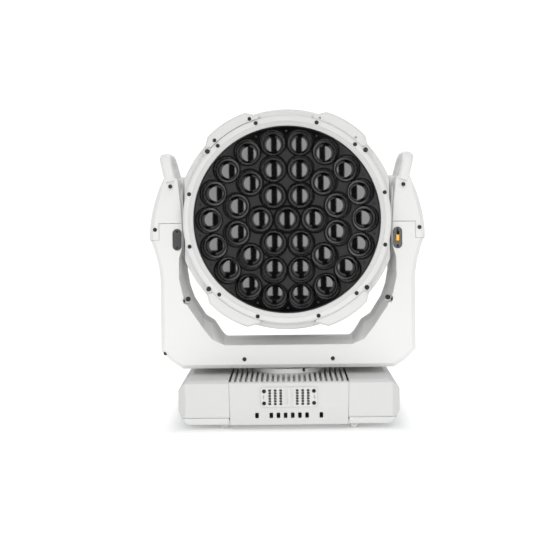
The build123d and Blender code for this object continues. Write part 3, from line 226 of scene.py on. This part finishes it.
def soft_key(name, tone):
    n = Nodes(name)
    n.set(Base_Color=n.ramp(n.noise(200.0, 3.0), tone, tuple(c * 1.3 for c in tone)))
    n.set(Roughness=n.level(n.noise(500.0), 0.55, 0.7))
    n.set(Normal=n.bump(n.noise(2500.0), 0.00004, 0.5, n.soft_edges(0.0004)))
    return n.material


WHITE = (0.70, 0.70, 0.685)
# Yoke white: the same paint made lighter, painted light on the yoke's covers where the head above shades
# them.
YOKE_WHITE_PAINTED_LIGHT = (0.79, 0.79, 0.775)
# Base white: the same paint made darker, painted shade on the base, which the lamps light more than the
# rest.
BASE_WHITE_PAINTED_SHADE = (0.61, 0.61, 0.60)
# The yoke's covers take the lighter copy of the white paint (painted light), the base's covers the
# darker copy (painted shade).
SPECIAL = {
    "front_baffle": "baffle",
    "yoke_front_cover": "yoke_shell_painted_light",
    "yoke_rear_cover": "yoke_shell_painted_light",
    "left_shoulder_cover": "yoke_shell_painted_light",
    "right_shoulder_cover": "yoke_shell_painted_light",
    "centre_housing": "base_shell_painted_shade",
    "left_wing_cover": "base_shell_painted_shade",
    "right_wing_cover": "base_shell_painted_shade",
    "vent_plate": "base_shell_painted_shade",
}
MATERIALS = {
    "white_shell": painted_shell("white_shell_paint", WHITE, 1500.0, 0.42),
    # Lighter copy of the white paint for the yoke covers: painted light.
    "yoke_shell_painted_light": painted_shell("yoke_paint_with_painted_light", YOKE_WHITE_PAINTED_LIGHT, 1500.0, 0.42),
    # Darker copy of the white paint for the base covers: painted shade.
    "base_shell_painted_shade": painted_shell("base_paint_with_painted_shade", BASE_WHITE_PAINTED_SHADE, 1500.0, 0.42),
    "white_cast": painted_shell("white_cast_paint", WHITE, 1100.0, 0.46),
    "black_plastic": dark_moulding("black_moulding", (0.002, 0.002, 0.0024), 0.22),
    "baffle": baffle_moulding("baffle_moulding"),
    "grey_plate": dark_moulding("grey_moulding", (0.028, 0.028, 0.030), 0.42),
    "yellow_tab": dark_moulding("yellow_moulding", (0.85, 0.42, 0.02), 0.35),
    "screw_black": black_oxide("screw_black_oxide"),
    "lens_glass": lens_glass("lens_glass_moulded"),
    "display_glass": smoked_window("display_window_gloss"),
    "rubber_black": rubber("rubber_moulded"),
    "rubber_pale": rubber("rubber_pale_moulded", (0.40, 0.40, 0.39)),
    "steel": brushed_metal("steel_plated", (0.55, 0.55, 0.56), 0.32),
    "alloy": brushed_metal("alloy_machined", (0.72, 0.72, 0.74), 0.36, (1, 30, 1)),
    "motor_black": dark_moulding("motor_paint", (0.02, 0.02, 0.022), 0.35),
    "circuit_board": circuit_board("board_resist"),
    "button_grey": soft_key("soft_key_rubber", (0.10, 0.10, 0.105)),
}


def dress_cad_nodes():
    """Give each carried-over part the material of its slot, or its own where SPECIAL names one: the
    baffle's, or a lighter (painted light) or darker (painted shade) copy of the white paint.
    """
    slots = {row["node"]: row["material_slot"] for row in frame["record"]["subparts"]}
    for name, obj in frame["nodes"].items():
        finish = MATERIALS[SPECIAL.get(name, slots[name])]
        if not obj.material_slots:
            obj.data.materials.append(finish)
        for slot in obj.material_slots:
            slot.material = finish


# ---- stage, lights and camera ----------------------------------------------
def emitter(name, size, place, aim, power):
    light = bpy.data.lights.new(name, "AREA")
    light.shape = "RECTANGLE"
    light.size, light.size_y = size
    light.energy = power
    obj = bpy.data.objects.new(name, light)
    scene.collection.objects.link(obj)
    obj.location = place
    obj.rotation_euler = (Vector(aim) - Vector(place)).to_track_quat("-Z", "Y").to_euler()


def past_base(n):
    """How far a point of the floor lies outside the base's footprint."""
    folded = n.combine("VectorMath", "ABSOLUTE", n.place)
    outside = n.combine("VectorMath", "SUBTRACT", folded.outputs["Vector"], (*BASE_HALF, 0))
    beyond = n.combine("VectorMath", "MAXIMUM", outside.outputs["Vector"])
    return n.combine("VectorMath", "LENGTH", beyond.outputs["Vector"]).outputs["Value"]


def make_stage():
    """White paper floor: shaded next to the base, evenly glowing past it, dark in front for gloss."""
    mesh = bpy.data.meshes.new("studio_floor")
    side = 12.0
    corners = [(-side, -side, 0), (side, -side, 0), (side, side, 0), (-side, side, 0)]
    mesh.from_pydata(corners, [], [(0, 1, 2, 3)])
    floor = bpy.data.objects.new("studio_floor", mesh)
    scene.collection.objects.link(floor)
    n = Nodes("studio_floor_paper")
    n.set(Base_Color=n.ramp(n.noise(3.0), (0.93, 0.93, 0.93), (0.95, 0.95, 0.95)), Roughness=0.9)
    n.set(Normal=n.bump(n.noise(400.0), 0.00005, 0.2), Specular_IOR_Level=0.1)
    far = n.add("MapRange", Value=past_base(n), From_Min=-0.01, From_Max=SHADOW_REACH)
    along = n.add("SeparateXYZ", Vector=n.place)
    felt = n.add("MapRange", Value=along.outputs["Y"], From_Min=FELT_TO, From_Max=FELT_FROM,
                 To_Min=FELT_GLOW, To_Max=PAPER_GLOW)
    seen = n.add("LightPath")
    strength = n.add("MapRange", Value=seen.outputs["Is Camera Ray"], To_Max=PAPER_GLOW)
    n.tree.links.new(felt.outputs["Result"], strength.inputs["To Min"])
    glow = n.add("Emission", Color=(1, 1, 1, 1), Strength=strength.outputs["Result"])
    mix = n.add("MixShader", Fac=far.outputs["Result"])
    n.tree.links.new(n.shader.outputs[0], mix.inputs[1])
    n.tree.links.new(glow.outputs[0], mix.inputs[2])
    n.tree.links.new(mix.outputs[0], n.tree.nodes["Material Output"].inputs["Surface"])
    mesh.materials.append(n.material)


def make_lights():
    """Two tall softboxes in front for the lens bands, and wide soft fill from all sides."""
    yoke_top = (0, 0, 0.3)
    yoke_low = (0, 0, 0.2)
    emitter("left_softbox", (0.56, 1.3), (-0.45, -2.1, 0.36), HEAD_CENTRE, 11)
    emitter("right_softbox", (0.56, 1.3), (0.45, -2.1, 0.36), HEAD_CENTRE, 12)
    emitter("high_softbox", (1.8, 0.7), (0.0, -1.9, 1.7), yoke_low, 7)
    emitter("left_wall", (1.8, 2.2), (-2.0, -1.3, 0.9), yoke_top, 3)
    emitter("right_wall", (1.8, 2.2), (2.0, -1.3, 0.9), yoke_top, 3)
    emitter("top_softbox", (2.6, 2.4), (0.0, -0.3, 2.3), yoke_low, 11)
    emitter("back_softbox", (2.8, 1.2), (0.0, 2.2, 1.6), yoke_top, 14)


def make_world():
    """White surround for the camera; for all else a soft grey room, dark toward the front."""
    world = bpy.data.worlds.new("studio")
    scene.world = world
    world.use_nodes = True
    tree = world.node_tree
    seen = tree.nodes["Background"]
    seen.inputs["Color"].default_value = (1, 1, 1, 1)
    seen.inputs["Strength"].default_value = 1.1
    felt = tree.nodes.new("ShaderNodeBackground")
    felt.inputs["Color"].default_value = (0.96, 0.98, 1.0, 1)
    way = tree.nodes.new("ShaderNodeTexCoord")
    axis = tree.nodes.new("ShaderNodeVectorMath")
    axis.operation = "DOT_PRODUCT"
    axis.inputs[1].default_value = (0, -1, 0)
    tree.links.new(way.outputs["Generated"], axis.inputs[0])
    dim = tree.nodes.new("ShaderNodeMapRange")
    for key, value in (("From Min", 0.84), ("From Max", 0.94), ("To Min", 0.56), ("To Max", 0.02)):
        dim.inputs[key].default_value = value
    tree.links.new(axis.outputs["Value"], dim.inputs["Value"])
    tree.links.new(dim.outputs["Result"], felt.inputs["Strength"])
    path = tree.nodes.new("ShaderNodeLightPath")
    mix = tree.nodes.new("ShaderNodeMixShader")
    tree.links.new(path.outputs["Is Camera Ray"], mix.inputs["Fac"])
    tree.links.new(felt.outputs[0], mix.inputs[1])
    tree.links.new(seen.outputs[0], mix.inputs[2])
    tree.links.new(mix.outputs[0], tree.nodes["World Output"].inputs["Surface"])


def make_camera():
    data = bpy.data.cameras.new("camera")
    data.sensor_width = SENSOR * 1000
    data.lens = FOCAL * 1000
    data.shift_x, data.shift_y = SHIFT
    camera = bpy.data.objects.new("camera", data)
    scene.collection.objects.link(camera)
    camera.location = (0, HEAD_CENTRE.y - CAMERA_BACK, HEAD_CENTRE.z + CAMERA_RISE)
    camera.rotation_euler = (math.radians(90), ROLL, 0)
    scene.camera = camera


scene.view_settings.view_transform = "Standard"
make_camera()
make_stage()
make_world()
make_lights()
dress_cad_nodes()
